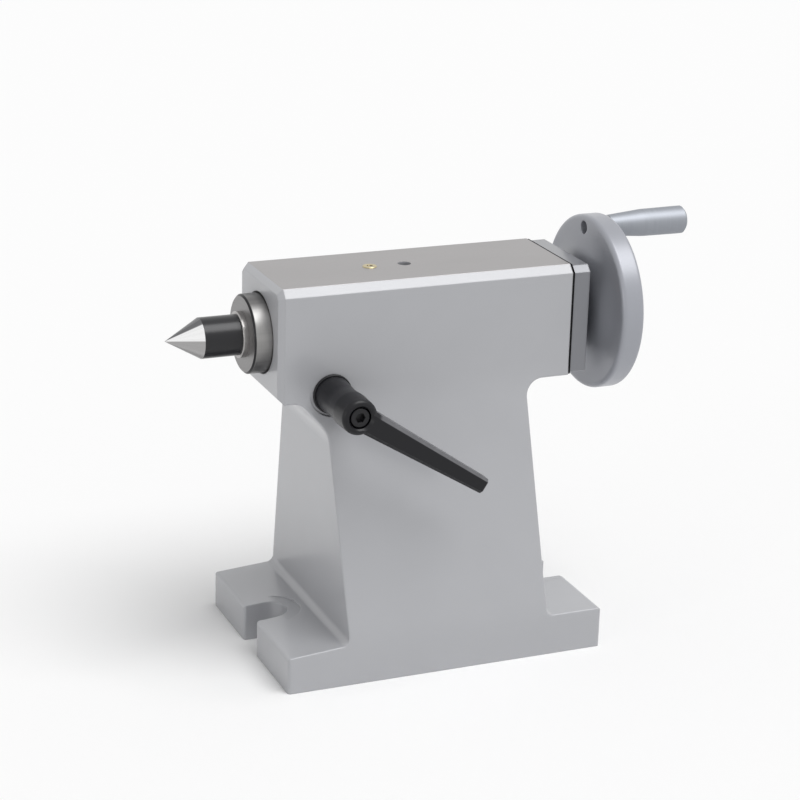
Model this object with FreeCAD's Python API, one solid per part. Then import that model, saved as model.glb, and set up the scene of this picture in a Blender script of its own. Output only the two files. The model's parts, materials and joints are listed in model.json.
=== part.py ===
import FreeCAD, Part
import math
import os

from FreeCAD import Vector

# Tailstock for a rotary table or dividing head. All sizes are in millimetres.
# X runs along the quill, with the centre's point towards -X and the handwheel at +X.
# The clamp lever is on the -Y side, +Z is up, and the origin is the middle of the base's underside.

# Clearances shared by every fit
running_fit = 0.04
seat_fit = 0.01
thread_fit = 0.05
screw_hole_room = 0.2

# Small edges and the length by which a cutting tool runs past a face
fine_round = 0.3
small_round = 0.5
edge_chamfer = 0.8
overrun = 1.0

# Base with an open slot at each end
base_length = 152.0
base_width = 102.0
base_thickness = 19.0
base_front_drop = 2.2
base_edge_round = 1.6
base_corner_round = 1.5
slot_width = 17.0
slot_depth = 17.4
slot_mouth_round = 1.2
spot_face_diameter = 29.0
spot_face_depth = 1.2

# Column, which flares from the head's width to the base's width
column_front = -47.3
column_rear = 48.6
column_overhang = 4.1
column_foot_round = 3.4
column_rear_blend = 8.0
column_side_blend = 60.0
gusset_reach = 12.0
gusset_round = 14.0
gusset_lead = 2.0
casting_edge_round = 0.7

# Head
centre_height = 150.0
head_front = -72.5
head_rear_room = 25.9
head_width = 52.0
head_height = 51.0
head_top_chamfer = 3.4
head_front_chamfer = 2.5

# Quill
quill_diameter = 35.0
quill_length = 120.0
quill_stand_out = 8.0
quill_advance = 36.0
quill_retract = 4.0
quill_edge_chamfer = 0.9
quill_core_diameter = 13.0
keyway_width = 4.1
keyway_depth = 3.6
keyway_spare = 3.0

# Wiper ring in the head's mouth
wiper_outer_diameter = 36.4
wiper_thickness = 1.7
wiper_lip = 0.3

# Dead centre with a number 2 Morse taper
point_diameter = 18.0
point_angle = 60.0
point_barrel_length = 16.7
shoulder_diameter = 20.4
shoulder_length = 2.7
taper_mouth_diameter = 17.78
taper_rate = 0.04995
taper_shank_length = 62.0
taper_socket_length = 66.0
taper_end_length = 2.0
taper_end_chamfer = 1.5

# Feed screw, left-hand, 3 mm pitch
screw_diameter = 12.0
screw_nose = -13.5
collar_diameter = 22.0
collar_thickness = 4.4
wheel_seat_diameter = 10.0
screw_end_stand_out = 1.6
screw_nose_chamfer = 1.2

# Feed nut in the quill's rear
nut_diameter = 22.0
nut_length = 22.0
nut_lock_diameter = 4.0
nut_lock_bite = 1.5
nut_lock_recess = 0.4
nut_lock_socket = 2.0
nut_lock_socket_depth = 1.6

# Ball thrust bearing
bearing_outer_diameter = 26.0
bearing_bore = 12.0
race_thickness = 2.65
ball_diameter = 3.8
ball_count = 12
ball_circle_diameter = 19.0
cage_thickness = 1.6
cage_land = 1.0
bearing_float = 0.1

# Rear cover with its gasket, bush and screws
gasket_thickness = 1.2
gasket_inset = 0.3
cover_thickness = 7.9
cover_inset = 1.0
spigot_wall = 4.4
spigot_length = 14.5
bush_outer_diameter = 16.0
cover_screw_diameter = 5.0
cover_screw_length = 14.0
cover_screw_head_diameter = 8.5
cover_screw_head_height = 5.0
cover_screw_offset_y = 19.0
cover_screw_offset_z = 18.5
cover_screw_socket = 4.0
cover_screw_recess = 0.2
cover_screw_hole_spare = 2.0
cover_corner_round = 0.5

# Handwheel
thrust_washer_diameter = 22.0
thrust_washer_thickness = 1.5
wheel_diameter = 80.0
wheel_hub_diameter = 27.0
wheel_hub_length = 16.0
wheel_hub_step = 3.0
wheel_hub_round = 1.0
wheel_inner_round = 3.0
wheel_dish_round = 24.0
wheel_dish_land = 2.0
rim_width = 10.6
rim_setback = 8.7
rim_depth = 11.5
rim_front_round = 2.2
rim_rear_round = 1.6
rim_inner_round = 1.5
web_thickness = 5.5
key_width = 3.0
key_length = 11.0
wheel_washer_diameter = 20.0
wheel_washer_thickness = 1.6
wheel_nut_flats = 16.0
wheel_nut_height = 5.0

# Crank handle on the rim
handle_circle_radius = 34.4
handle_angle = 5.0
handle_thread_diameter = 6.0
handle_thread_recess = 2.2
handle_thread_chamfer = 1.2
handle_shoulder_diameter = 9.6
handle_shoulder_thickness = 1.4
handle_pin_diameter = 6.0
handle_root_diameter = 10.2
handle_belly_diameter = 12.5
handle_belly_distance = 17.0
handle_belly_round = 30.0
handle_end_diameter = 12.8
handle_end_width = 5.4
handle_end_round = 20.0
handle_length = 38.6
handle_end_chamfer = 1.0
handle_head_diameter = 8.2
handle_head_height = 1.6
handle_head_recess = 0.9
handle_head_room = 0.25

# Quill clamp: two cotters in a cross bore, drawn together by a stud
clamp_x = -48.3
clamp_drop = 22.2
cotter_diameter = 16.0
cotter_quill_gap = 0.08
cotter_middle_gap = 7.0
clamp_far_wall = 4.0
cotter_setback = 0.4
clamp_spot_face_diameter = 20.0
stud_diameter = 8.0
stud_reach = 7.5
stud_far_recess = 1.0

# Adjustable clamp lever
insert_flange_diameter = 17.8
insert_flange_thickness = 1.4
insert_nose_setback = 0.4
insert_barrel_diameter = 11.6
insert_barrel_length = 16.0
spline_outer_diameter = 12.6
spline_length = 4.0
spline_count = 20
lever_hub_length = 32.6
lever_hub_root_diameter = 16.4
lever_hub_waist_diameter = 15.0
lever_hub_waist_distance = 13.0
lever_hub_waist_round = 30.0
lever_hub_end_diameter = 16.4
lever_hub_end_width = 11.1
lever_hub_end_round = 12.0
lever_hub_lip_round = 2.2
lever_hub_room = 0.15
lever_lift = 4.5
lever_reach = 67.4
lever_angle = -32.5
lever_rise = 5.0
arm_root_width = 11.0
arm_tip_width = 7.1
arm_root_thickness = 9.0
arm_tip_thickness = 5.6
arm_bevel = 1.6
arm_tip_bevel = 1.2
arm_tip_round = 0.9
lever_web_thickness = 1.6
web_gap = 0.6
lever_screw_diameter = 5.0
lever_screw_head_diameter = 8.5
lever_screw_head_height = 5.0
lever_screw_socket = 4.0
lever_screw_recess = 0.7
lever_screw_bore_room = 0.6
lever_screw_bore_chamfer = 0.7
lever_screw_end_gap = 1.0
lever_spring_wire = 0.8
lever_spring_turns = 2.5

# Guide screw for the quill's keyway
guide_x = -5.1
guide_screw_diameter = 6.0
guide_screw_recess = 4.0
guide_dog_diameter = 4.0
guide_socket = 3.0
guide_socket_depth = 2.4
guide_dog_gap = 0.5
guide_thread_gap = 0.4

# Ball oiler
oiler_x = -21.5
oiler_diameter = 6.0
oiler_stand_out = 0.35
oiler_length = 7.0
oiler_chamber_diameter = 4.4
oiler_mouth_diameter = 2.6
oiler_lip = 0.8
oiler_floor = 0.8
oiler_rim = 0.25
oiler_ball_diameter = 3.5
oiler_spring_wire = 0.35
oiler_spring_turns = 2.5
oil_way_diameter = 2.4

# Places worked out from the sizes above
quill_front = head_front - quill_stand_out
quill_rear = quill_front + quill_length
head_rear = quill_rear + head_rear_room
quill_radius = quill_diameter / 2
quill_bore_radius = quill_radius + running_fit
head_bottom = centre_height - head_height / 2
head_top = centre_height + head_height / 2
head_side = head_width / 2
gasket_rear = head_rear + gasket_thickness
cover_rear = gasket_rear + cover_thickness
cover_screw_seat = cover_rear - cover_screw_head_height - cover_screw_recess
spigot_front = gasket_rear - spigot_length
bearing_rear = gasket_rear - bearing_float
bearing_front = bearing_rear - 2 * race_thickness - ball_diameter - bearing_float
collar_front = bearing_front - collar_thickness
hub_front = cover_rear + thrust_washer_thickness
hub_rear = hub_front + wheel_hub_length
wheel_washer_rear = hub_rear + wheel_washer_thickness
wheel_nut_rear = wheel_washer_rear + wheel_nut_height
rim_front = hub_front + rim_setback
rim_rear = rim_front + rim_width
handle_y = handle_circle_radius * math.sin(math.radians(handle_angle))
handle_z = centre_height + handle_circle_radius * math.cos(math.radians(handle_angle))
grip_front = rim_rear + handle_shoulder_thickness + 2 * running_fit
grip_rear = grip_front + handle_length
clamp_z = centre_height - clamp_drop
flange_front = head_side + insert_flange_thickness
barrel_end = flange_front + insert_barrel_length
lever_root = flange_front + 2 * running_fit
lever_end = lever_root + lever_hub_length
web_front = barrel_end + web_gap
web_rear = web_front + lever_web_thickness
lever_screw_top = lever_end - lever_screw_recess
lever_screw_seat = lever_screw_top - lever_screw_head_height
stud_outer_end = flange_front + stud_reach
cross_bore_end = head_side - clamp_far_wall
near_cotter_end = head_side - cotter_setback


def rod_x(radius, start, end, y=0.0, z=centre_height):
    return Part.makeCylinder(radius, end - start, Vector(start, y, z), Vector(1, 0, 0))


def rod_y(radius, start, end, x, z):
    return Part.makeCylinder(radius, end - start, Vector(x, start, z), Vector(0, 1, 0))


def rod_z(radius, start, end, x, y=0.0):
    return Part.makeCylinder(radius, end - start, Vector(x, y, start), Vector(0, 0, 1))


def block(low, high):
    size = [b - a for a, b in zip(low, high)]
    return Part.makeBox(size[0], size[1], size[2], Vector(*low))


def rounded_face(corners, place):
    # A closed outline through corners (u, v, radius), each corner turned by a tangent arc.
    edges = []
    joints = []
    count = len(corners)
    for index in range(count):
        here = corners[index]
        point = Vector(here[0], here[1], 0)
        before = Vector(corners[index - 1][0], corners[index - 1][1], 0) - point
        after = Vector(corners[(index + 1) % count][0], corners[(index + 1) % count][1], 0) - point
        radius = here[2] if len(here) > 2 else 0.0
        if radius == 0.0:
            joints.append((point, None, point))
            continue
        half = before.getAngle(after) / 2
        reach = radius / math.tan(half)
        middle = (before.normalize() + after.normalize()).normalize()
        centre = point + middle * (radius / math.sin(half))
        joints.append((point + before * reach, centre - middle * radius, point + after * reach))
    for index in range(count):
        start, middle, end = joints[index]
        if middle is not None:
            edges.append(Part.Arc(place(start), place(middle), place(end)).toShape())
        following = joints[(index + 1) % count][0]
        if (following - end).Length > 1e-6:
            edges.append(Part.makeLine(place(end), place(following)))
    return Part.Face(Part.Wire(edges))


def turned_x(corners, y=0.0, z=centre_height):
    # A body turned about an axis along X, from corners (x, radius, round).
    face = rounded_face(corners, lambda p: Vector(p.x, y, z + p.y))
    return face.revolve(Vector(0, y, z), Vector(1, 0, 0), 360)


def turned_y(corners, x, z):
    # A body turned about an axis along Y, from corners (distance out towards -Y, radius, round).
    face = rounded_face(corners, lambda p: Vector(x + p.y, -p.x, z))
    return face.revolve(Vector(x, 0, z), Vector(0, 1, 0), 360)


def turned_z(corners, x, y=0.0):
    face = rounded_face(corners, lambda p: Vector(x + p.y, y, p.x))
    return face.revolve(Vector(x, y, 0), Vector(0, 0, 1), 360)


def hexagon(flats, origin, axis, depth):
    # A hexagonal prism of the given width across its flats.
    side = Part.makeCircle(flats / math.sqrt(3), Vector(0, 0, 0), Vector(0, 0, 1))
    points = [side.valueAt(math.radians(60 * k)) for k in range(6)]
    prism = Part.Face(Part.makePolygon(points + [points[0]])).extrude(Vector(0, 0, depth))
    turn = FreeCAD.Rotation(Vector(0, 0, 1), axis)
    prism.Placement = FreeCAD.Placement(origin, turn)
    return prism


def coil(radius, wire, turns, start, axis, length):
    # A wire coil whose outer ends lie inside the given length.
    pitch = (length - wire) / turns
    path = Part.makeLongHelix(pitch, length - wire, radius)
    profile = Part.Wire(Part.makeCircle(wire / 2, Vector(radius, 0, 0), Vector(0, 1, 0)))
    spring = Part.Wire(path).makePipeShell([profile], True, True)
    spring.translate(Vector(0, 0, wire / 2))
    turn = FreeCAD.Rotation(Vector(0, 0, 1), axis)
    spring.Placement = FreeCAD.Placement(start, turn).multiply(spring.Placement)
    return spring


def column_front_at(height):
    share = (height - base_thickness) / (head_bottom - base_thickness)
    return column_front - column_overhang * share


def casting_front_view():
    # The casting seen along Y: base, column with its gusset and fillets, and head.
    half = base_length / 2
    gusset_foot = head_bottom - gusset_reach - gusset_lead
    gusset_lip = column_front_at(gusset_foot) - gusset_reach
    rear_top = column_rear - column_overhang
    corners = [
        (-half, 0), (half, 0), (half, base_thickness, base_edge_round),
        (column_rear, base_thickness, column_foot_round),
        (rear_top, head_bottom, column_rear_blend),
        (head_rear, head_bottom), (head_rear, head_top),
        (head_front, head_top), (head_front, head_bottom),
        (gusset_lip, head_bottom, gusset_round / 2),
        (column_front_at(gusset_foot), gusset_foot, gusset_round),
        (column_front, base_thickness, column_foot_round),
        (-half, base_thickness - base_front_drop, base_edge_round),
    ]
    face = rounded_face(corners, lambda p: Vector(p.x, -base_width / 2, p.y))
    return face.extrude(Vector(0, base_width, 0))


def casting_end_view():
    # The casting seen along X: base side, flare, head side and top chamfers.
    foot = base_width / 2
    shoulder = head_top - head_top_chamfer
    flat = head_side - head_top_chamfer
    right = [
        (foot, 0), (foot, base_thickness, column_side_blend),
        (head_side, head_bottom, column_side_blend),
        (head_side, shoulder), (flat, head_top),
    ]
    left = [(-c[0],) + tuple(c[1:]) for c in reversed(right)]
    reach = max(base_length, 2 * head_rear, -2 * head_front)
    face = rounded_face(right + left, lambda p: Vector(-reach, p.x, p.y))
    return face.extrude(Vector(2 * reach, 0, 0))


def casting_plan_view():
    # The casting seen along Z: the base's outline with its rounded corners.
    along = base_length / 2
    across = base_width / 2
    corners = [(x * along, y * across, base_corner_round) for x, y in ((-1, -1), (1, -1), (1, 1), (-1, 1))]
    face = rounded_face(corners, lambda p: Vector(p.x, p.y, -overrun))
    return face.extrude(Vector(0, 0, head_top + 2 * overrun))


def is_column_corner(edge):
    # The four upright edges of the column, between the base and the head.
    box = edge.BoundBox
    upright = box.ZLength > (head_bottom - base_thickness) / 2
    return upright and box.ZMax < head_top - head_top_chamfer - overrun


def is_head_front_edge(edge):
    box = edge.BoundBox
    return abs(box.XMin - head_front) < 1e-3 and abs(box.XMax - head_front) < 1e-3


def cut_base_slots(body):
    half = slot_width / 2
    lip = half + slot_mouth_round + overrun
    top = base_thickness + column_foot_round + overrun
    seat = base_thickness - spot_face_depth
    for side in (-1, 1):
        end = side * base_length / 2
        outside = end + side * overrun
        centre = side * (base_length / 2 - slot_depth + half)
        corners = [(centre, -half), (end, -half, slot_mouth_round), (end, -lip), (outside, -lip),
                   (outside, lip), (end, lip), (end, half, slot_mouth_round), (centre, half)]
        mouth = rounded_face(corners, lambda p: Vector(p.x, p.y, -overrun))
        body = body.cut(mouth.extrude(Vector(0, 0, top + overrun)))
        body = body.cut(rod_z(half, -overrun, top, centre))
        body = body.cut(rod_z(spot_face_diameter / 2, seat, top, centre))
    return body


def cut_cover_screw_holes(body):
    for y, z in cover_screw_places():
        depth = cover_screw_length - (cover_thickness - cover_screw_head_height) + cover_screw_hole_spare
        hole = cover_screw_diameter / 2 + seat_fit
        body = body.cut(rod_x(hole, head_rear - depth, head_rear + overrun, y, z))
    return body


def make_body_casting():
    body = casting_front_view().common(casting_end_view())
    fronts = [edge for edge in body.Edges if is_head_front_edge(edge)]
    body = body.makeChamfer(head_front_chamfer, fronts)
    # The fillet runs on from the column's corners along the base's outline.
    corners = [edge for edge in body.Edges if is_column_corner(edge)]
    body = body.makeFillet(casting_edge_round, corners)
    body = body.common(casting_plan_view())
    body = cut_base_slots(body)
    body = body.cut(rod_x(quill_bore_radius, head_front - overrun, head_rear + overrun))
    body = body.cut(rod_x(wiper_outer_diameter / 2, head_front - overrun, head_front + wiper_thickness))
    body = cut_cover_screw_holes(body)
    outside = -base_width / 2
    body = body.cut(rod_y(cotter_diameter / 2, outside, cross_bore_end, clamp_x, clamp_z))
    body = body.cut(rod_y(clamp_spot_face_diameter / 2, outside, -head_side, clamp_x, clamp_z))
    body = body.cut(rod_z(guide_screw_diameter / 2, centre_height, head_top + overrun, guide_x))
    body = body.cut(rod_z(oil_way_diameter / 2, centre_height, head_top + overrun, oiler_x))
    oiler_seat = head_top + oiler_stand_out - oiler_length
    body = body.cut(rod_z(oiler_diameter / 2, oiler_seat, head_top + overrun, oiler_x))
    return body


def make_quill():
    quill = turned_x([
        (quill_front, 0), (quill_front, quill_radius - quill_edge_chamfer),
        (quill_front + quill_edge_chamfer, quill_radius),
        (quill_rear - quill_edge_chamfer, quill_radius),
        (quill_rear, quill_radius - quill_edge_chamfer), (quill_rear, 0)])
    mouth = taper_mouth_diameter / 2 + seat_fit
    inner = mouth - taper_rate / 2 * taper_socket_length
    socket_end = quill_front + taper_socket_length
    quill = quill.cut(Part.makeCone(mouth, inner, taper_socket_length,
                                    Vector(quill_front, 0, centre_height), Vector(1, 0, 0)))
    quill = quill.cut(rod_x(quill_core_diameter / 2, socket_end - overrun, quill_rear))
    quill = quill.cut(rod_x(nut_diameter / 2, quill_rear - nut_length, quill_rear + overrun))
    key_start = guide_x - quill_retract - guide_dog_diameter / 2 - keyway_spare
    key_end = guide_x + quill_advance + guide_dog_diameter / 2 + keyway_spare
    floor = centre_height + quill_radius - keyway_depth
    quill = quill.cut(block((key_start, -keyway_width / 2, floor),
                            (key_end, keyway_width / 2, centre_height + quill_radius + overrun)))
    lock_x = quill_rear - nut_length / 2
    lock_start = centre_height - quill_radius - overrun
    return quill.cut(rod_z(nut_lock_diameter / 2, lock_start, centre_height, lock_x))


def make_quill_nut():
    nut = turned_x([
        (quill_rear - nut_length, screw_diameter / 2 + thread_fit),
        (quill_rear - nut_length, nut_diameter / 2 - seat_fit),
        (quill_rear, nut_diameter / 2 - seat_fit),
        (quill_rear, screw_diameter / 2 + thread_fit)])
    lock_x = quill_rear - nut_length / 2
    lock_top = centre_height - nut_diameter / 2 + nut_lock_bite
    return nut.cut(rod_z(nut_lock_diameter / 2, centre_height - quill_radius, lock_top, lock_x))


def make_nut_lock_screw():
    lock_x = quill_rear - nut_length / 2
    bottom = centre_height - quill_radius + nut_lock_recess
    top = centre_height - nut_diameter / 2 + nut_lock_bite - seat_fit
    screw = rod_z(nut_lock_diameter / 2 - seat_fit, bottom, top, lock_x)
    socket = hexagon(nut_lock_socket, Vector(lock_x, 0, bottom), Vector(0, 0, 1), nut_lock_socket_depth)
    return screw.cut(socket)


def make_dead_centre():
    radius = point_diameter / 2
    point_length = radius / math.tan(math.radians(point_angle / 2))
    shoulder_front = quill_front - shoulder_length
    point_base = shoulder_front - point_barrel_length
    shank_end = quill_front + taper_shank_length
    mouth = taper_mouth_diameter / 2
    inner = mouth - taper_rate / 2 * taper_shank_length
    return turned_x([
        (point_base - point_length, 0), (point_base, radius), (shoulder_front, radius),
        (shoulder_front, shoulder_diameter / 2, small_round), (quill_front, shoulder_diameter / 2),
        (quill_front, mouth), (shank_end - taper_end_length, inner),
        (shank_end, inner - taper_end_chamfer), (shank_end, 0)])


def make_quill_wiper():
    rear = head_front + wiper_thickness
    inner = quill_radius + 2 * running_fit
    outer = wiper_outer_diameter / 2 - seat_fit
    return turned_x([
        (head_front, inner + wiper_lip), (head_front, outer), (rear, outer), (rear, inner),
        (head_front + wiper_lip, inner)])


def make_feed_screw():
    radius = screw_diameter / 2
    end = wheel_nut_rear + screw_end_stand_out
    seat = wheel_seat_diameter / 2
    screw = turned_x([
        (screw_nose, 0), (screw_nose, radius - screw_nose_chamfer), (screw_nose + screw_nose_chamfer, radius),
        (collar_front, radius), (collar_front, collar_diameter / 2, fine_round),
        (bearing_front, collar_diameter / 2), (bearing_front, radius), (hub_front, radius),
        (hub_front, seat), (end - edge_chamfer, seat), (end, seat - edge_chamfer), (end, 0)])
    return screw.cut(key_block(0.0))


def key_block(side_room):
    # The key's own shape with side_room at zero, or its pocket with a little more.
    start = (hub_front + hub_rear - key_length) / 2
    bottom = centre_height + wheel_seat_diameter / 2 - key_width / 2
    half = key_width / 2 + side_room
    return block((start - side_room, -half, bottom),
                 (start + key_length + side_room, half, bottom + key_width + side_room))


def make_handwheel_key():
    return key_block(-seat_fit)


def make_race(front):
    bore = bearing_bore / 2 + seat_fit
    outer = bearing_outer_diameter / 2
    return turned_x([(front, bore), (front, outer, fine_round), (front + race_thickness, outer, fine_round),
                     (front + race_thickness, bore)])


def ball_places():
    middle = (bearing_front + bearing_rear) / 2
    places = []
    for index in range(ball_count):
        turn = 2 * math.pi * index / ball_count
        radius = ball_circle_diameter / 2
        places.append(Vector(middle, radius * math.sin(turn), centre_height + radius * math.cos(turn)))
    return places


def make_bearing_balls():
    radius = ball_diameter / 2
    return Part.makeCompound([Part.makeSphere(radius, place) for place in ball_places()])


def make_bearing_cage():
    middle = (bearing_front + bearing_rear) / 2
    inner = ball_circle_diameter / 2 - ball_diameter / 2 - cage_land
    outer = ball_circle_diameter / 2 + ball_diameter / 2 + cage_land
    cage = turned_x([(middle - cage_thickness / 2, inner), (middle - cage_thickness / 2, outer),
                     (middle + cage_thickness / 2, outer), (middle + cage_thickness / 2, inner)])
    for place in ball_places():
        pocket = ball_diameter / 2 + running_fit
        cage = cage.cut(rod_x(pocket, middle - cage_thickness, middle + cage_thickness, place.y, place.z))
    return cage


def plate(front, rear, inset):
    # A plate with the head's outline, drawn in by the inset, with the same top chamfers.
    side = head_side - inset
    top = head_top - inset
    bottom = head_bottom + inset
    chamfer = head_top_chamfer - inset * (2 - math.sqrt(2))
    corners = [(-side, bottom, cover_corner_round), (side, bottom, cover_corner_round),
               (side, top - chamfer), (side - chamfer, top), (chamfer - side, top), (-side, top - chamfer)]
    return rounded_face(corners, lambda p: Vector(front, p.x, p.y)).extrude(Vector(rear - front, 0, 0))


def cover_screw_places():
    return [(side * cover_screw_offset_y, centre_height + level * cover_screw_offset_z)
            for side in (-1, 1) for level in (-1, 1)]


def make_cover_gasket():
    gasket = plate(head_rear, gasket_rear, gasket_inset)
    gasket = gasket.cut(rod_x(quill_bore_radius, head_rear - overrun, gasket_rear + overrun))
    for y, z in cover_screw_places():
        hole = cover_screw_diameter / 2 + screw_hole_room
        gasket = gasket.cut(rod_x(hole, head_rear - overrun, gasket_rear + overrun, y, z))
    return gasket


def make_rear_cover():
    cover = plate(gasket_rear, cover_rear, cover_inset)
    cover = cover.fuse(rod_x(quill_radius, spigot_front, gasket_rear + overrun))
    cover = cover.cut(rod_x(quill_radius - spigot_wall, spigot_front - overrun, gasket_rear))
    cover = cover.cut(rod_x(bush_outer_diameter / 2, gasket_rear - overrun, cover_rear + overrun))
    hole = cover_screw_diameter / 2 + screw_hole_room
    sink = cover_screw_head_diameter / 2 + screw_hole_room
    for y, z in cover_screw_places():
        cover = cover.cut(rod_x(hole, gasket_rear - overrun, cover_rear + overrun, y, z))
        cover = cover.cut(rod_x(sink, cover_screw_seat, cover_rear + overrun, y, z))
    return cover.removeSplitter()


def make_cover_bush():
    bore = screw_diameter / 2 + running_fit
    outer = bush_outer_diameter / 2 - seat_fit
    return turned_x([(gasket_rear, bore), (gasket_rear, outer), (cover_rear, outer), (cover_rear, bore)])


def make_cover_screws():
    seat = cover_screw_seat
    top = seat + cover_screw_head_height
    end = seat - cover_screw_length
    shank = cover_screw_diameter / 2
    head = cover_screw_head_diameter / 2
    screws = []
    for y, z in cover_screw_places():
        screw = turned_x([(end, 0), (end, shank - edge_chamfer), (end + edge_chamfer, shank),
                          (seat, shank), (seat, head), (top, head, small_round), (top, 0)], y, z)
        socket = hexagon(cover_screw_socket, Vector(top, y, z), Vector(-1, 0, 0), cover_screw_head_height / 2)
        screws.append(screw.cut(socket))
    return Part.makeCompound(screws)


def make_thrust_washer():
    bore = screw_diameter / 2 + 2 * running_fit
    outer = thrust_washer_diameter / 2
    return turned_x([(cover_rear, bore), (cover_rear, outer), (hub_front, outer), (hub_front, bore)])


def make_handwheel():
    rim = wheel_diameter / 2
    hub = wheel_hub_diameter / 2
    bore = wheel_seat_diameter / 2 + seat_fit
    web_outer = rim - rim_depth
    web_rear_outer = rim_front + web_thickness
    web_hub_front = hub_front + wheel_hub_step
    web_hub_rear = web_hub_front + web_thickness + wheel_hub_round
    wheel = turned_x([
        (hub_front, bore), (hub_front, hub, wheel_hub_round), (web_hub_front, hub, wheel_inner_round),
        (rim_front, web_outer + wheel_dish_land, wheel_dish_round),
        (rim_front, rim, rim_front_round), (rim_rear, rim, rim_rear_round),
        (rim_rear, web_outer, rim_inner_round),
        (web_rear_outer, web_outer - wheel_hub_round, wheel_inner_round),
        (web_hub_rear, hub, wheel_inner_round), (hub_rear, hub, wheel_hub_round), (hub_rear, bore)])
    wheel = wheel.cut(key_block(0.0))
    hole = handle_thread_diameter / 2 + thread_fit
    return wheel.cut(rod_x(hole, rim_front - overrun, rim_rear + overrun, handle_y, handle_z))


def make_handwheel_washer():
    bore = wheel_seat_diameter / 2 + screw_hole_room
    outer = wheel_washer_diameter / 2
    return turned_x([(hub_rear, bore), (hub_rear, outer, fine_round), (wheel_washer_rear, outer, fine_round),
                     (wheel_washer_rear, bore)])


def make_handwheel_nut():
    start = Vector(wheel_washer_rear, 0, centre_height)
    nut = hexagon(wheel_nut_flats, start, Vector(1, 0, 0), wheel_nut_height)
    corner = wheel_nut_flats / math.sqrt(3)
    face = wheel_nut_flats / 2 - small_round
    crown = turned_x([(wheel_washer_rear, 0), (wheel_washer_rear, corner),
                      (wheel_nut_rear - edge_chamfer, corner), (wheel_nut_rear, face), (wheel_nut_rear, 0)])
    hole = wheel_seat_diameter / 2 + seat_fit
    bore = rod_x(hole, wheel_washer_rear - overrun, wheel_nut_rear + overrun)
    return nut.common(crown).cut(bore)


def make_handle_spindle():
    thread = handle_thread_diameter / 2
    shoulder = handle_shoulder_diameter / 2
    pin = handle_pin_diameter / 2
    head = handle_head_diameter / 2
    head_rear_face = grip_rear - handle_head_recess
    head_front_face = head_rear_face - handle_head_height
    shoulder_rear = rim_rear + handle_shoulder_thickness
    start = rim_front + handle_thread_recess
    return turned_x([
        (start, 0), (start, thread - handle_thread_chamfer), (start + handle_thread_chamfer, thread),
        (rim_rear, thread), (rim_rear, shoulder, fine_round), (shoulder_rear, shoulder, fine_round),
        (shoulder_rear, pin), (head_front_face, pin), (head_front_face, head),
        (head_rear_face, head, small_round),
        (head_rear_face, 0)], handle_y, handle_z)


def make_handle_grip():
    bore = handle_pin_diameter / 2 + running_fit
    root = handle_root_diameter / 2
    belly = handle_belly_diameter / 2
    end = handle_end_diameter / 2
    sink = handle_head_diameter / 2 + handle_head_room
    sink_floor = grip_rear - handle_head_recess - handle_head_height - running_fit
    return turned_x([
        (grip_front, bore), (grip_front, root - fine_round, fine_round),
        (grip_front + handle_belly_distance, belly, handle_belly_round),
        (grip_rear - handle_end_width, end, handle_end_round),
        (grip_rear - handle_end_chamfer, end), (grip_rear, end - handle_end_chamfer),
        (grip_rear, sink), (sink_floor, sink), (sink_floor, bore)], handle_y, handle_z)


def make_cotter(inner, outer, hole_radius):
    low = min(inner, outer)
    high = max(inner, outer)
    cotter = rod_y(cotter_diameter / 2 - running_fit, low, high, clamp_x, clamp_z)
    cotter = cotter.cut(rod_x(quill_radius + cotter_quill_gap, head_front, 0))
    return cotter.cut(rod_y(hole_radius, low - overrun, high + overrun, clamp_x, clamp_z))


def make_near_cotter():
    return make_cotter(-cotter_middle_gap / 2, -near_cotter_end, stud_diameter / 2 + screw_hole_room)


def make_far_cotter():
    outer = cross_bore_end - cotter_setback
    return make_cotter(cotter_middle_gap / 2, outer, stud_diameter / 2 + thread_fit)


def make_clamp_stud():
    radius = stud_diameter / 2
    far_end = cross_bore_end - stud_far_recess
    return turned_y([(-far_end, 0), (-far_end, radius - edge_chamfer), (edge_chamfer - far_end, radius),
                     (stud_outer_end - edge_chamfer, radius), (stud_outer_end, radius - edge_chamfer),
                     (stud_outer_end, 0)], clamp_x, clamp_z)


def spline_prism(growth, start, end):
    # A ring of V-shaped teeth about the lever's axis, grown by the given amount.
    outer = spline_outer_diameter / 2 + growth
    root = insert_barrel_diameter / 2 + growth
    points = []
    for index in range(2 * spline_count):
        radius = outer if index % 2 == 0 else root
        turn = math.pi * index / spline_count
        points.append(Vector(clamp_x + radius * math.cos(turn), -start, clamp_z + radius * math.sin(turn)))
    return Part.Face(Part.makePolygon(points + [points[0]])).extrude(Vector(0, start - end, 0))


def make_lever_insert():
    flange = insert_flange_diameter / 2
    barrel = insert_barrel_diameter / 2
    nose = cotter_diameter / 2 - insert_nose_setback
    inside = near_cotter_end + 2 * seat_fit
    flange_rear = head_side + 2 * thread_fit
    insert = turned_y([
        (inside, 0), (inside, nose), (flange_rear, nose), (flange_rear, flange, fine_round),
        (flange_front, flange, small_round), (flange_front, barrel), (barrel_end, barrel), (barrel_end, 0)],
        clamp_x, clamp_z)
    insert = insert.fuse(spline_prism(0.0, barrel_end - spline_length, barrel_end))
    insert = insert.cut(rod_y(stud_diameter / 2 + seat_fit, -stud_outer_end - seat_fit, 0, clamp_x, clamp_z))
    return insert.cut(rod_y(lever_screw_diameter / 2 + seat_fit, -barrel_end - overrun, 0, clamp_x, clamp_z))


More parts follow.
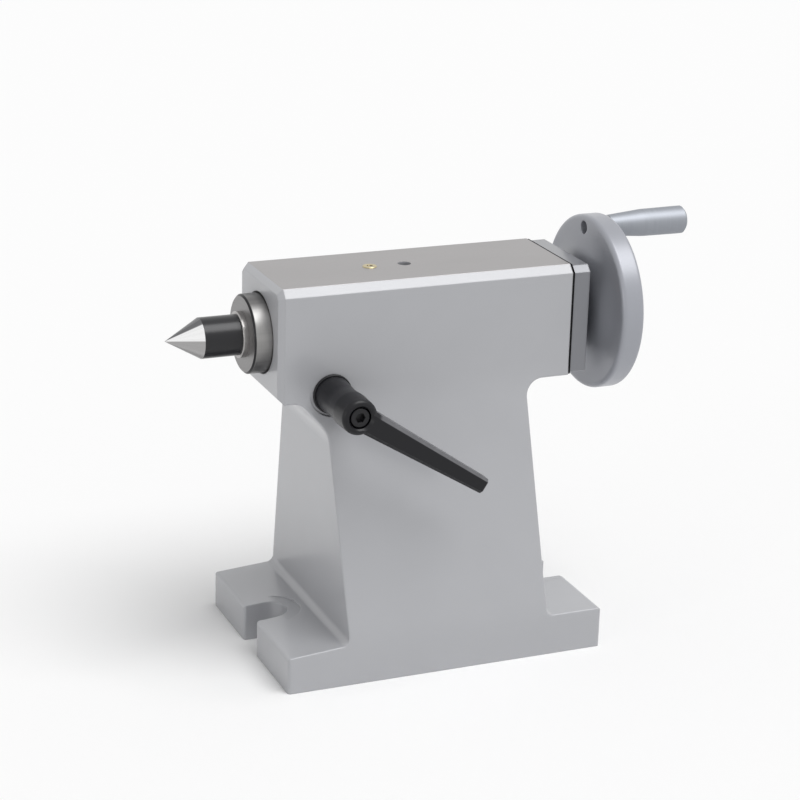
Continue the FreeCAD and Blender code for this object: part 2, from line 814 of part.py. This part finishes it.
def arm_section(distance, front, width, thickness, bevel):
    # The arm's cross-section at a distance from the lever's axis, flat on its back and bevelled in front.
    turn = math.radians(lever_angle)
    along = Vector(math.cos(turn), 0, math.sin(turn))
    across = Vector(-math.sin(turn), 0, math.cos(turn))
    centre = Vector(clamp_x, 0, clamp_z) + along * distance
    half = width / 2
    edge = thickness - bevel
    outline = [(-half, 0.0), (-half, edge), (bevel - half, thickness), (half - bevel, thickness),
               (half, edge), (half, 0.0)]
    points = [centre + across * a + Vector(0, thickness - front - b, 0) for a, b in outline]
    return Part.makePolygon(points + [points[0]])


def make_lever_arm():
    root = lever_hub_root_diameter / 2
    waist = lever_hub_waist_diameter / 2
    end = lever_hub_end_diameter / 2
    hub = turned_y([
        (lever_root, 0), (lever_root, root, small_round),
        (lever_root + lever_hub_waist_distance, waist, lever_hub_waist_round),
        (lever_end - lever_hub_end_width, end, lever_hub_end_round),
        (lever_end, end - fine_round, lever_hub_lip_round), (lever_end, 0)],
        clamp_x, clamp_z)
    sections = [
        arm_section(arm_bevel, lever_end + screw_hole_room, arm_root_width, arm_root_thickness, arm_bevel),
        arm_section(lever_reach, lever_end + lever_rise, arm_tip_width, arm_tip_thickness, arm_tip_bevel)]
    arm = Part.makeLoft(sections, True, True)
    turn = math.radians(lever_angle)
    tip = Vector(clamp_x + lever_reach * math.cos(turn), 0, clamp_z + lever_reach * math.sin(turn))
    tip_edges = [edge for edge in arm.Edges
                 if all(abs((v.Point - tip).dot(Vector(math.cos(turn), 0, math.sin(turn)))) < 1e-3
                        for v in edge.Vertexes)]
    arm = arm.makeFillet(arm_tip_round, tip_edges)
    lever = hub.fuse(arm)
    plain = spline_outer_diameter / 2 + lever_hub_room
    lever = lever.cut(rod_y(plain, -barrel_end + spline_length, -lever_root + overrun, clamp_x, clamp_z))
    lever = lever.cut(rod_y(plain, -web_front, -barrel_end - web_gap / 2, clamp_x, clamp_z))
    lever = lever.cut(spline_prism(running_fit, barrel_end - spline_length - overrun, barrel_end + overrun))
    hole = lever_screw_diameter / 2 + screw_hole_room
    lever = lever.cut(rod_y(hole, -lever_end, -web_front + overrun, clamp_x, clamp_z))
    bore = lever_screw_head_diameter / 2 + lever_screw_bore_room
    lever = lever.cut(rod_y(bore, -lever_end - overrun, -web_rear, clamp_x, clamp_z))
    depth = lever_screw_bore_chamfer + overrun
    start = Vector(clamp_x, lever_screw_bore_chamfer - lever_end, clamp_z)
    return lever.cut(Part.makeCone(bore, bore + depth, depth, start, Vector(0, -1, 0)))


def make_lever_screw():
    shank = lever_screw_diameter / 2
    head = lever_screw_head_diameter / 2
    start = stud_outer_end + lever_screw_end_gap
    screw = turned_y([(start, 0), (start, shank - small_round), (start + small_round, shank),
                      (lever_screw_seat, shank), (lever_screw_seat, head),
                      (lever_screw_top, head, small_round), (lever_screw_top, 0)], clamp_x, clamp_z)
    return screw.cut(hexagon(lever_screw_socket, Vector(clamp_x, -lever_screw_top, clamp_z),
                             Vector(0, 1, 0), lever_screw_head_height / 2))


def make_lever_spring():
    radius = lever_screw_head_diameter / 2 - lever_spring_wire / 2
    start = Vector(clamp_x, -web_rear - running_fit, clamp_z)
    length = lever_screw_seat - web_rear - 2 * running_fit
    return coil(radius, lever_spring_wire, lever_spring_turns, start, Vector(0, -1, 0), length)


def make_guide_screw():
    top = head_top - guide_screw_recess
    thread_bottom = centre_height + quill_radius + guide_thread_gap
    bottom = centre_height + quill_radius - keyway_depth + guide_dog_gap
    thread = guide_screw_diameter / 2 - seat_fit
    dog = guide_dog_diameter / 2
    screw = turned_z([(bottom, 0), (bottom, dog), (thread_bottom, dog), (thread_bottom, thread),
                      (top, thread), (top, 0)], guide_x)
    return screw.cut(hexagon(guide_socket, Vector(guide_x, 0, top), Vector(0, 0, -1), guide_socket_depth))


def oiler_ball_height():
    # The ball's centre, with the ball held just under the oiler's lip.
    drop = math.sqrt((oiler_ball_diameter / 2) ** 2 - (oiler_mouth_diameter / 2) ** 2)
    return head_top + oiler_stand_out - oiler_lip - drop - running_fit


def make_oiler_body():
    top = head_top + oiler_stand_out
    bottom = top - oiler_length
    outer = oiler_diameter / 2
    chamber = oiler_chamber_diameter / 2
    mouth = oiler_mouth_diameter / 2
    way = oil_way_diameter / 2
    return turned_z([
        (bottom, way), (bottom, outer - seat_fit), (head_top, outer - seat_fit),
        (head_top, outer + oiler_rim), (top, outer - seat_fit, oiler_rim / 2), (top, mouth),
        (top - oiler_lip, mouth), (top - oiler_lip, chamber),
        (bottom + oiler_floor, chamber), (bottom + oiler_floor, way)], oiler_x)


def make_oiler_ball():
    return Part.makeSphere(oiler_ball_diameter / 2, Vector(oiler_x, 0, oiler_ball_height()))


def make_oiler_spring():
    bottom = head_top + oiler_stand_out - oiler_length + oiler_floor + running_fit
    top = oiler_ball_height() - oiler_ball_diameter / 2 - running_fit
    radius = oiler_chamber_diameter / 2 - oiler_spring_wire
    return coil(radius, oiler_spring_wire, oiler_spring_turns, Vector(oiler_x, 0, bottom),
                Vector(0, 0, 1), top - bottom)


nodes = {
    "body_casting": make_body_casting(),
    "quill": make_quill(),
    "quill_nut": make_quill_nut(),
    "nut_lock_screw": make_nut_lock_screw(),
    "dead_centre": make_dead_centre(),
    "quill_wiper": make_quill_wiper(),
    "feed_screw": make_feed_screw(),
    "bearing_race_front": make_race(bearing_front),
    "bearing_race_rear": make_race(bearing_rear - race_thickness),
    "bearing_balls": make_bearing_balls(),
    "bearing_cage": make_bearing_cage(),
    "cover_gasket": make_cover_gasket(),
    "rear_cover": make_rear_cover(),
    "cover_bush": make_cover_bush(),
    "cover_screws": make_cover_screws(),
    "thrust_washer": make_thrust_washer(),
    "handwheel": make_handwheel(),
    "handwheel_key": make_handwheel_key(),
    "handwheel_washer": make_handwheel_washer(),
    "handwheel_nut": make_handwheel_nut(),
    "handle_spindle": make_handle_spindle(),
    "handle_grip": make_handle_grip(),
    "near_cotter": make_near_cotter(),
    "far_cotter": make_far_cotter(),
    "clamp_stud": make_clamp_stud(),
    "lever_insert": make_lever_insert(),
    "lever_arm": make_lever_arm(),
    "lever_screw": make_lever_screw(),
    "lever_spring": make_lever_spring(),
    "guide_screw": make_guide_screw(),
    "oiler_body": make_oiler_body(),
    "oiler_ball": make_oiler_ball(),
    "oiler_spring": make_oiler_spring(),
}

os.makedirs("parts", exist_ok=True)
for name, shape in nodes.items():
    shape.exportStep("parts/" + name + ".step")
    print(name, len(shape.Solids), "solid", shape.isValid(), round(shape.Volume, 1))
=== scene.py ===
import bpy
import bmesh
import json
import math
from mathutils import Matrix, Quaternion, Vector

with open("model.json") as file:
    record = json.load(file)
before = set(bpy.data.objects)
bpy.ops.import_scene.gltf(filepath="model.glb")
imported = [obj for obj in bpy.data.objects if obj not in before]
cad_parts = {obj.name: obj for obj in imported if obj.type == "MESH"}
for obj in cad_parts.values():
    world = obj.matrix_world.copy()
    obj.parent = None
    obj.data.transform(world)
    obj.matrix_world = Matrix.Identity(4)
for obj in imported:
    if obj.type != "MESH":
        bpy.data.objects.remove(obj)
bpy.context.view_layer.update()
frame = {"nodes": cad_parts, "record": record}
print("frame loaded,", len(frame["nodes"]), "nodes")

mm = 0.001
quillAxis = (0, 0, 0.15)


class Signal:
    # wraps a socket, so that sums on values add their Math nodes
    def __init__(self, pad, socket):
        self.pad = pad
        self.socket = socket

    def math(self, operation, *values):
        inputs = {index: value for index, value in enumerate((self,) + values)}
        return self.pad.node("ShaderNodeMath", {"operation": operation}, inputs)

    def __add__(self, other):
        return self.math("ADD", other)

    def __radd__(self, other):
        return self.math("ADD", other)

    def __sub__(self, other):
        return self.math("SUBTRACT", other)

    def __rsub__(self, other):
        return self.pad.node("ShaderNodeMath", {"operation": "SUBTRACT"}, {0: other, 1: self})

    def __mul__(self, other):
        return self.math("MULTIPLY", other)

    def __rmul__(self, other):
        return self.math("MULTIPLY", other)

    def __pow__(self, other):
        return self.math("POWER", other)

    def step(self, low, high):
        # smooth rise from 0 at low to 1 at high, either way round
        return self.pad.node("ShaderNodeMapRange", {"interpolation_type": "SMOOTHSTEP"},
                             {"Value": self, "From Min": low, "From Max": high})


class FinishPad:
    # one material and its nodes
    def __init__(self, name):
        self.material = bpy.data.materials.new(name)
        self.material.use_nodes = True
        self.tree = self.material.node_tree
        self.tree.nodes.clear()
        self.place = self.node("ShaderNodeTexCoord", out="Object")

    def node(self, kind, settings=None, inputs=None, out=0):
        made = self.tree.nodes.new(kind)
        for name, value in (settings or {}).items():
            setattr(made, name, value)
        for name, value in (inputs or {}).items():
            if isinstance(value, Signal):
                self.tree.links.new(value.socket, made.inputs[name])
            else:
                made.inputs[name].default_value = value
        return Signal(self, made.outputs[out])

    def axis(self, name):
        return self.node("ShaderNodeSeparateXYZ", inputs={0: self.place}, out=name.upper())

    def noise(self, size, detail=2.0, rough=0.5, stretch=None):
        # size is the width of one blotch in millimetres
        where = self.place
        if stretch:
            where = self.node("ShaderNodeMapping", {"vector_type": "POINT"},
                              {"Vector": where, "Scale": stretch})
        return self.node("ShaderNodeTexNoise", {"noise_dimensions": "3D"},
                         {"Vector": where, "Scale": 1 / (size * mm), "Detail": detail, "Roughness": rough})

    def blend(self, share, first, second):
        # a colour between two colours
        return self.node("ShaderNodeMix", {"data_type": "RGBA"}, {0: share, 6: first, 7: second}, out=2)

    def shade(self, color, amount):
        # a colour multiplied by a value near 1
        grey = self.node("ShaderNodeCombineColor", inputs={0: amount, 1: amount, 2: amount})
        return self.node("ShaderNodeMix", {"data_type": "RGBA", "blend_type": "MULTIPLY"},
                         {0: 1.0, 6: color, 7: grey}, out=2)

    def blendVectors(self, share, first, second):
        return self.node("ShaderNodeMix", {"data_type": "VECTOR"}, {0: share, 4: first, 5: second}, out=1)

    def polar(self, axis, centre):
        # the distance from an axis, and the place along it
        away = self.node("ShaderNodeVectorMath", {"operation": "SUBTRACT"}, {0: self.place, 1: centre})
        parts = {letter: self.node("ShaderNodeSeparateXYZ", inputs={0: away}, out=letter.upper())
                 for letter in "xyz"}
        across = [parts[letter] for letter in "xyz" if letter != axis]
        return (across[0] * across[0] + across[1] * across[1]) ** 0.5, parts[axis]

    def rings(self, radius, along, size):
        # turning marks, size is the width of one mark in millimetres
        spot = self.node("ShaderNodeCombineXYZ", inputs={0: along, 1: radius})
        return self.node("ShaderNodeTexNoise", {"noise_dimensions": "3D"},
                         {"Vector": spot, "Scale": 1 / (size * mm), "Detail": 3.0, "Roughness": 0.6})

    def around(self, axis, centre, size):
        # soft streaks that run along an axis and change only around it
        return self.node("ShaderNodeTexNoise", {"noise_dimensions": "3D"},
                         {"Vector": self.spoke(axis, centre), "Scale": size,
                          "Detail": 5.0, "Roughness": 0.65})

    def spoke(self, axis, centre):
        # the direction away from an axis, one unit long
        away = self.node("ShaderNodeVectorMath", {"operation": "SUBTRACT"}, {0: self.place, 1: centre})
        flat = self.node("ShaderNodeVectorMath", {"operation": "MULTIPLY"},
                         {0: away, 1: tuple(0.0 if letter == axis else 1.0 for letter in "xyz")})
        return self.node("ShaderNodeVectorMath", {"operation": "NORMALIZE"}, {0: flat})

    def band(self, spoke, start, end, startSoft, endSoft):
        # 1 between two angles about the X axis and opposite to them, 0 elsewhere
        # the angles are in degrees, counted up from -Y
        def beyond(angle, soft):
            turn = math.radians(angle)
            past = self.node("ShaderNodeVectorMath", {"operation": "DOT_PRODUCT"},
                             {0: spoke, 1: (0.0, math.sin(turn), math.cos(turn))}, out="Value")
            return past.step(-soft, soft)
        above, below = beyond(start, startSoft), 1 - beyond(end, endSoft)
        return above * below + (1 - above) * (1 - below)

    def bump(self, height, depth, normal=None):
        # depth is in millimetres
        inputs = {"Height": height, "Strength": 1.0, "Distance": depth * mm}
        if normal:
            inputs["Normal"] = normal
        return self.node("ShaderNodeBump", inputs=inputs)

    def softEdge(self, radius):
        # rounds a sharp edge in the shading only
        return self.node("ShaderNodeBevel", {"samples": 6}, {"Radius": radius * mm})

    def finish(self, **sockets):
        inputs = {name.replace("_", " "): value for name, value in sockets.items()}
        surface = self.node("ShaderNodeBsdfPrincipled", inputs=inputs)
        output = self.tree.nodes.new("ShaderNodeOutputMaterial")
        self.tree.links.new(surface.socket, output.inputs["Surface"])
        return self.material


paint = dict(color=(0.40, 0.405, 0.425, 1), roughness=0.36, metallic=0.1, coat=0.6, coatRoughness=0.16,
             peelSize=1.4, peelDepth=0.010, peelGloss=0.05, waveSize=24.0, waveDepth=0.08, edgeRound=0.8,
             tone=0.97, toneSpan=0.06)
groundTop = dict(level=175.46, color=(0.37, 0.358, 0.358, 1), dark=(0.30, 0.289, 0.289, 1), roughness=0.30,
                 metallic=0.95, lineSize=0.25, lineDepth=0.0012, lineStretch=(0.012, 1.0, 1.0),
                 lineShare=0.5, cloudSize=26.0, cloudStretch=(0.35, 1.0, 1.0), cloudShare=0.6,
                 shareOffset=0.05)


def paintedBody():
    pad = FinishPad("paintedBody")
    peel = pad.noise(paint["peelSize"], 3.0)
    wave = pad.noise(paint["waveSize"], 2.0)
    skin = pad.bump(peel, paint["peelDepth"], pad.softEdge(paint["edgeRound"]))
    skin = pad.bump(wave, paint["waveDepth"], skin)
    # the head's top is ground bare along its length
    lines = pad.noise(groundTop["lineSize"], 4.0, 0.7, stretch=groundTop["lineStretch"])
    cloud = pad.noise(groundTop["cloudSize"], 2.0, stretch=groundTop["cloudStretch"])
    bare = pad.axis("z").step(groundTop["level"] * mm - 0.03 * mm, groundTop["level"] * mm)
    share = lines * groundTop["lineShare"] + cloud * groundTop["cloudShare"] - groundTop["shareOffset"]
    metalColor = pad.blend(share, groundTop["dark"], groundTop["color"])
    paintColor = pad.shade(paint["color"], paint["tone"] + wave * paint["toneSpan"])
    normal = pad.blendVectors(bare, skin, pad.bump(lines, groundTop["lineDepth"]))
    return pad.finish(
        Base_Color=pad.blend(bare, paintColor, metalColor),
        Roughness=(paint["roughness"] + peel * paint["peelGloss"]
                   + bare * (groundTop["roughness"] - paint["roughness"])),
        Metallic=paint["metallic"] + bare * (groundTop["metallic"] - paint["metallic"]),
        Coat_Weight=paint["coat"] * (1 - bare), Coat_Roughness=paint["coatRoughness"], Normal=normal)


def paintedPart(name, color, roughness=0.34, metallic=0.3, coat=0.7):
    pad = FinishPad(name)
    peel = pad.noise(paint["peelSize"], 3.0)
    wave = pad.noise(paint["waveSize"], 2.0)
    skin = pad.bump(peel, paint["peelDepth"], pad.softEdge(paint["edgeRound"]))
    return pad.finish(Base_Color=pad.shade(color, paint["tone"] + wave * paint["toneSpan"]),
                      Roughness=roughness + peel * paint["peelGloss"], Metallic=metallic,
                      Coat_Weight=coat, Coat_Roughness=paint["coatRoughness"], Normal=skin)


# the darkest colour is painted shade in the dish by the hub; the edge band's slightly lighter colour is a
# painted highlight
wheelPaint = dict(color=(0.32, 0.33, 0.365, 1), rim=(0.33, 0.34, 0.375, 1), dishShade=(0.10, 0.105, 0.12, 1),
                  rimStart=27.0, rimEnd=38.8, dishShadeStart=23.0, dishShadeEnd=14.0,
                  ringSize=0.5, ringDepth=0.004, tone=0.95, ringTone=0.05, roughness=0.34, ringGloss=0.06,
                  metallic=0.25, coat=0.25, coatRoughness=0.25)


def paintedWheel():
    # silver paint over a turned wheel, with painted shade darkening the dish towards the hub, and its edge
    # band a touch lighter as a painted highlight
    pad = FinishPad("paintedWheel")
    radius, along = pad.polar("x", quillAxis)
    rings = pad.rings(radius, along, wheelPaint["ringSize"])
    wave = pad.noise(paint["waveSize"], 2.0)
    # the lighter edge band is a slight painted highlight, and the darkening down in the dish is painted
    # shade
    rimHighlightShare = radius.step(wheelPaint["rimStart"] * mm, wheelPaint["rimEnd"] * mm)
    dishShadeShare = radius.step(wheelPaint["dishShadeStart"] * mm, wheelPaint["dishShadeEnd"] * mm)
    color = pad.blend(dishShadeShare, pad.blend(rimHighlightShare, wheelPaint["color"], wheelPaint["rim"]), wheelPaint["dishShade"])
    tone = wheelPaint["tone"] + wave * paint["toneSpan"] + rings * wheelPaint["ringTone"]
    skin = pad.bump(rings, wheelPaint["ringDepth"], pad.softEdge(paint["edgeRound"]))
    return pad.finish(Base_Color=pad.shade(color, tone),
                      Roughness=wheelPaint["roughness"] + rings * wheelPaint["ringGloss"],
                      Metallic=wheelPaint["metallic"], Coat_Weight=wheelPaint["coat"],
                      Coat_Roughness=wheelPaint["coatRoughness"], Normal=skin)


turned = dict(tone=0.84, ringTone=0.24, cloudTone=0.08, cloudSize=9.0, ringGloss=0.08)


def turnedMetal(name, color, roughness, axis="x", centre=quillAxis, ringSize=0.25, depth=0.002, edge=0.15):
    # fine rings left by a turning tool about one axis
    pad = FinishPad(name)
    radius, along = pad.polar(axis, centre)
    rings = pad.rings(radius, along, ringSize)
    cloud = pad.noise(turned["cloudSize"], 2.0)
    tone = turned["tone"] + rings * turned["ringTone"] + cloud * turned["cloudTone"]
    return pad.finish(Base_Color=pad.shade(color, tone), Metallic=1.0,
                      Roughness=roughness + rings * turned["ringGloss"],
                      Normal=pad.bump(rings, depth, pad.softEdge(edge)))


# the point's colours are painted highlight and painted shade: a light band about the axis, with darker
# bands on either side
deadCentre = dict(coneEnd=-99.9, barrelEnd=-83.2, coneGlint=(0.86, 0.86, 0.86, 1),
                  coneLowShade=(0.34, 0.335, 0.335, 1), coneShade=(0.13, 0.13, 0.135, 1),
                  black=(0.007, 0.007, 0.009, 1), shoulder=(0.36, 0.35, 0.345, 1),
                  streaks=2.6, shadeStart=-58, glintStart=8, glintEnd=58, soft=0.03, shadeSoft=0.25,
                  glintShare=0.88, ringSize=0.18, ringDepth=0.0012, roughness=0.20, gloss=0.06,
                  edgeRound=0.12)


def centreFinish():
    # a ground point painted with a highlight band, painted shade on either side of it and painted
    # reflection streaks, a blackened barrel and a turned shoulder
    pad = FinishPad("centreFinish")
    radius, along = pad.polar("x", quillAxis)
    pastCone = along.step(deadCentre["coneEnd"] * mm - 0.01 * mm, deadCentre["coneEnd"] * mm + 0.01 * mm)
    shoulder = along.step(deadCentre["barrelEnd"] * mm - 0.01 * mm, deadCentre["barrelEnd"] * mm)
    reflectionStreak = pad.around("x", quillAxis, deadCentre["streaks"])
    spoke = pad.spoke("x", quillAxis)
    glintBand = pad.band(spoke, deadCentre["glintStart"], deadCentre["glintEnd"], deadCentre["soft"],
                          deadCentre["soft"])
    shadeBand = pad.band(spoke, deadCentre["shadeStart"], deadCentre["glintStart"], deadCentre["shadeSoft"],
                       deadCentre["soft"])
    rings = pad.rings(radius, along, deadCentre["ringSize"])
    # painted shade and painted highlight bands on the ground point, mixed with painted reflection streaks
    shadeColor = pad.blend(shadeBand, deadCentre["coneShade"], deadCentre["coneLowShade"])
    paintedReflection = glintBand * deadCentre["glintShare"] + reflectionStreak.step(0.34, 0.66) * (1 - deadCentre["glintShare"])
    glintColor = pad.blend(paintedReflection, shadeColor, deadCentre["coneGlint"])
    metal = pad.blend(shoulder, glintColor, pad.shade(deadCentre["shoulder"], 0.75 + rings * 0.5))
    black = pastCone * (1 - shoulder)
    return pad.finish(Base_Color=pad.blend(black, metal, deadCentre["black"]),
                      Roughness=deadCentre["roughness"] + (rings + black) * deadCentre["gloss"],
                      Metallic=1 - black * 0.85,
                      Normal=pad.bump(rings, deadCentre["ringDepth"],
                                      pad.softEdge(deadCentre["edgeRound"])))


# side is the lit colour and dark the painted shade of the quill's side; chamfer is painted shade
quillSteel = dict(side=(0.32, 0.315, 0.31, 1), dark=(0.13, 0.128, 0.128, 1), face=(0.23, 0.225, 0.225, 1),
                  chamfer=(0.03, 0.03, 0.032, 1), faceEnd=-80.46, chamferEnd=-79.62, streaks=2.4,
                  sideGlintStart=-20, sideGlintEnd=48, sideGlintSoft=0.35,
                  glintShare=0.7, ringSize=0.3, ringDepth=0.002, roughness=0.33, ringGloss=0.06,
                  edgeRound=0.2)


def quillFinish():
    # a turned face with a chamfer painted near-black as painted shade, and a ground side painted lighter
    # along one band as a painted highlight and darker above and below it as painted shade
    pad = FinishPad("quillFinish")
    radius, along = pad.polar("x", quillAxis)
    pastFace = along.step(quillSteel["faceEnd"] * mm - 0.03 * mm, quillSteel["faceEnd"] * mm)
    onSide = along.step(quillSteel["chamferEnd"] * mm - 0.2 * mm, quillSteel["chamferEnd"] * mm)
    reflectionStreak = pad.around("x", quillAxis, quillSteel["streaks"])
    band = pad.band(pad.spoke("x", quillAxis), quillSteel["sideGlintStart"], quillSteel["sideGlintEnd"],
                    quillSteel["sideGlintSoft"], quillSteel["sideGlintSoft"])
    rings = pad.rings(radius, along, quillSteel["ringSize"])
    paintedReflection = band * quillSteel["glintShare"] + reflectionStreak.step(0.3, 0.7) * (1 - quillSteel["glintShare"])
    # painted highlight band and painted shade on the ground side
    side = pad.blend(paintedReflection, quillSteel["dark"], quillSteel["side"])
    front = pad.blend(pastFace, pad.shade(quillSteel["face"], 0.7 + rings * 0.6), quillSteel["chamfer"])
    color = pad.blend(onSide, front, side)
    return pad.finish(Base_Color=pad.shade(color, 0.9 + rings * 0.2),
                      Roughness=quillSteel["roughness"] + rings * quillSteel["ringGloss"], Metallic=1.0,
                      Normal=pad.bump(rings, quillSteel["ringDepth"],
                                      pad.softEdge(quillSteel["edgeRound"])))


blackSkin = dict(grainSize=0.6, grainDepth=0.008, grainGloss=0.1, cloudSize=7.0, tone=0.85,
                 toneSpan=0.3, edgeRound=0.25)


def blackFinish(name, color, roughness, level=0.3):
    pad = FinishPad(name)
    grain = pad.noise(blackSkin["grainSize"], 3.0)
    cloud = pad.noise(blackSkin["cloudSize"], 2.0)
    return pad.finish(Base_Color=pad.shade(color, blackSkin["tone"] + cloud * blackSkin["toneSpan"]),
                      Roughness=roughness + grain * blackSkin["grainGloss"], Metallic=0.0,
                      Specular_IOR_Level=level,
                      Normal=pad.bump(grain, blackSkin["grainDepth"], pad.softEdge(blackSkin["edgeRound"])))


# the clamp lever's arm: its axis point in metres, its angle in degrees,
# and in millimetres where its hub ends and where its upper bevel starts; the bevel colour is a painted
# highlight
leverBlack = dict(color=(0.004, 0.004, 0.006, 1), bevel=(0.14, 0.14, 0.15, 1), roughness=0.30, level=0.32,
                  axis=(-0.0483, 0, 0.1278), angle=-32.5, hubEnd=7.2, bevelStart=3.95, taper=0.0236,
                  glint=0.6, glintSpan=0.6, glintSize=5.0)


def leverFinish():
    # satin black, with a painted highlight along the arm's upper bevel whose strength changes in patches
    pad = FinishPad("leverFinish")
    turn = math.radians(leverBlack["angle"])
    away = pad.node("ShaderNodeVectorMath", {"operation": "SUBTRACT"},
                    {0: pad.place, 1: leverBlack["axis"]})
    along = pad.node("ShaderNodeVectorMath", {"operation": "DOT_PRODUCT"},
                     {0: away, 1: (math.cos(turn), 0, math.sin(turn))}, out="Value")
    across = pad.node("ShaderNodeVectorMath", {"operation": "DOT_PRODUCT"},
                      {0: away, 1: (-math.sin(turn), 0, math.cos(turn))}, out="Value")
    start = leverBlack["bevelStart"] * mm
    onBevel = (across + along * leverBlack["taper"]).step(start - 0.2 * mm, start + 0.1 * mm)
    onArm = along.step(leverBlack["hubEnd"] * mm, leverBlack["hubEnd"] * mm + 2 * mm)
    grain = pad.noise(blackSkin["grainSize"], 3.0)
    glintStrength = leverBlack["glint"] + pad.noise(leverBlack["glintSize"], 2.0) * leverBlack["glintSpan"]
    # the bevel's lighter colour is a painted highlight
    glint = onBevel * onArm * glintStrength
    return pad.finish(Base_Color=pad.blend(glint, leverBlack["color"], leverBlack["bevel"]),
                      Roughness=leverBlack["roughness"] + grain * blackSkin["grainGloss"], Metallic=0.0,
                      Specular_IOR_Level=leverBlack["level"],
                      Normal=pad.bump(grain, blackSkin["grainDepth"], pad.softEdge(blackSkin["edgeRound"])))


gripMiddle = (0, 0.002998, 0.184269)
oilerMiddle = (-0.0215, 0, 0.1755)
finishes = {
    "body_casting": paintedBody(),
    "quill": quillFinish(),
    "dead_centre": centreFinish(),
    "quill_wiper": blackFinish("wiperRubber", (0.07, 0.07, 0.072, 1), 0.6, 0.2),
    # the gasket is a modelled part, and its near-black colour is painted shade for the dark gap between
    # cover and head
    "cover_gasket": blackFinish("gasketGapShade", (0.010, 0.010, 0.011, 1), 0.8, 0.05),
    "rear_cover": paintedPart("paintedCover", (0.185, 0.19, 0.208, 1)),
    "handwheel": paintedWheel(),
    "handle_grip": turnedMetal("turnedGrip", (0.31, 0.325, 0.355, 1), 0.5, centre=gripMiddle, ringSize=0.5),
    "lever_arm": leverFinish(),
}
byClass = {
    "ground_steel": turnedMetal("groundSteel", (0.50, 0.50, 0.50, 1), 0.2),
    "steel": turnedMetal("turnedSteel", (0.40, 0.40, 0.41, 1), 0.3),
    "bronze": turnedMetal("machinedBronze", (0.50, 0.33, 0.16, 1), 0.3),
    "brass": turnedMetal("turnedBrass", (0.50, 0.43, 0.26, 1), 0.28, axis="z", centre=oilerMiddle),
    "black_steel": blackFinish("blackSteel", (0.010, 0.010, 0.012, 1), 0.32, 0.3),
    "spring_steel": turnedMetal("springWire", (0.4, 0.4, 0.4, 1), 0.3),
}
slotOf = {part["node"]: part["material_slot"] for part in frame["record"]["subparts"]}
for name, piece in frame["nodes"].items():
    finish = finishes.get(name) or byClass[slotOf[name]]
    for materialSlot in piece.material_slots:
        materialSlot.link = "OBJECT"
        materialSlot.material = finish
print("finishes set")


studio = dict(floorSize=12.0, floorColor=(0.97, 0.97, 0.97, 1), roomLight=0.48)
lamps = dict(
    broadLight=dict(way=(0.28, -0.35, 0.87), power=1.84, angle=42.0),
    edgeLight=dict(way=(-0.90, -0.42, 0.12), power=0.15, angle=12.0),
)
shot = dict(azimuth=-23.07, elevation=19.077, roll=1.612, distance=1.04835, target=(-0.005248, 0, 0.111634),
            lens=104.707)


def makeFloor():
    mesh = bpy.data.meshes.new("floor")
    shape = bmesh.new()
    bmesh.ops.create_grid(shape, x_segments=1, y_segments=1, size=studio["floorSize"] / 2)
    shape.to_mesh(mesh)
    shape.free()
    floor = bpy.data.objects.new("floor", mesh)
    bpy.context.scene.collection.objects.link(floor)
    pad = FinishPad("paleFloor")
    paper = pad.node("ShaderNodeBsdfDiffuse", inputs={"Color": studio["floorColor"]})
    floor.data.materials.append(pad.material)
    output = pad.tree.nodes.new("ShaderNodeOutputMaterial")
    pad.tree.links.new(paper.socket, output.inputs["Surface"])


def addLamp(name, lamp):
    # a broad light comes from above and in front, and a faint low one from the left draws the upright edges
    data = bpy.data.lights.new(name, "SUN")
    data.energy = lamp["power"]
    data.angle = math.radians(lamp["angle"])
    sun = bpy.data.objects.new(name, data)
    sun.rotation_mode = "QUATERNION"
    sun.rotation_quaternion = Vector(lamp["way"]).to_track_quat("Z", "Y")
    bpy.context.scene.collection.objects.link(sun)


def aimCamera():
    azimuth, elevation = math.radians(shot["azimuth"]), math.radians(shot["elevation"])
    back = Vector((math.sin(azimuth) * math.cos(elevation), -math.cos(azimuth) * math.cos(elevation),
                   math.sin(elevation)))
    data = bpy.data.cameras.new("photoCamera")
    data.sensor_width = 36.0
    data.lens = shot["lens"]
    camera = bpy.data.objects.new("photoCamera", data)
    camera.location = Vector(shot["target"]) + back * shot["distance"]
    camera.rotation_mode = "QUATERNION"
    roll = Quaternion((0, 0, 1), math.radians(shot["roll"]))
    camera.rotation_quaternion = back.to_track_quat("Z", "Y") @ roll
    bpy.context.scene.collection.objects.link(camera)
    bpy.context.scene.camera = camera


def setWorld():
    world = bpy.data.worlds.new("studioWorld")
    world.use_nodes = True
    tree = world.node_tree
    background = tree.nodes["Background"]
    path = tree.nodes.new("ShaderNodeLightPath")
    strength = path.outputs["Is Camera Ray"]
    for ray in ("Is Glossy Ray", "Is Transmission Ray"):
        either = tree.nodes.new("ShaderNodeMath")
        either.operation = "MAXIMUM"
        tree.links.new(strength, either.inputs[0])
        tree.links.new(path.outputs[ray], either.inputs[1])
        strength = either.outputs[0]
    level = tree.nodes.new("ShaderNodeMath")
    level.operation = "MAXIMUM"
    tree.links.new(strength, level.inputs[0])
    level.inputs[1].default_value = studio["roomLight"]
    tree.links.new(level.outputs[0], background.inputs["Strength"])
    background.inputs["Color"].default_value = (1, 1, 1, 1)
    bpy.context.scene.world = world


makeFloor()
setWorld()
for name, lamp in lamps.items():
    addLamp(name, lamp)
aimCamera()
bpy.context.scene.view_settings.view_transform = "Standard"
print("studio ready")
